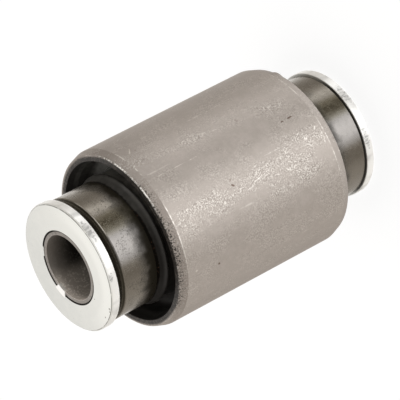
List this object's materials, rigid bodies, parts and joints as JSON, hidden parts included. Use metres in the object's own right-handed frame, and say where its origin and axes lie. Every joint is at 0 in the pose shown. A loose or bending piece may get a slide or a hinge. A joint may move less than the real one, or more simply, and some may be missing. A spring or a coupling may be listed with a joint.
{
  "type": "rubber metal bush",
  "caption": "Round suspension bush: rubber bonded between a short outer steel sleeve and a longer thick inner sleeve on a bolt tube, with a flat ring at each end.",
  "frame": {"origin": "centre of the lower end ring's seat face, on the bore axis", "axes": "+Z along the bore axis, up, from the lower end ring to the upper end ring"},
  "size_m": [0.039, 0.039, 0.07],
  "materials": {
    "phosphated_steel": "matt grey-brown phosphate coat with bright worn specks",
    "black_rubber": "moulded, satin black",
    "ground_steel": "ground and oiled, dark, lightly pitted",
    "tube_steel": "drawn tube, grey-brown",
    "bright_ring": "bright plated, satin faces and a polished rim"
  },
  "bodies": {
    "root": {"outer_sleeve": "phosphated_steel", "rubber_body": "black_rubber", "inner_sleeve": "ground_steel", "bolt_tube": "tube_steel", "upper_end_ring": "bright_ring", "lower_end_ring": "bright_ring"}
  },
  "joints": []
}
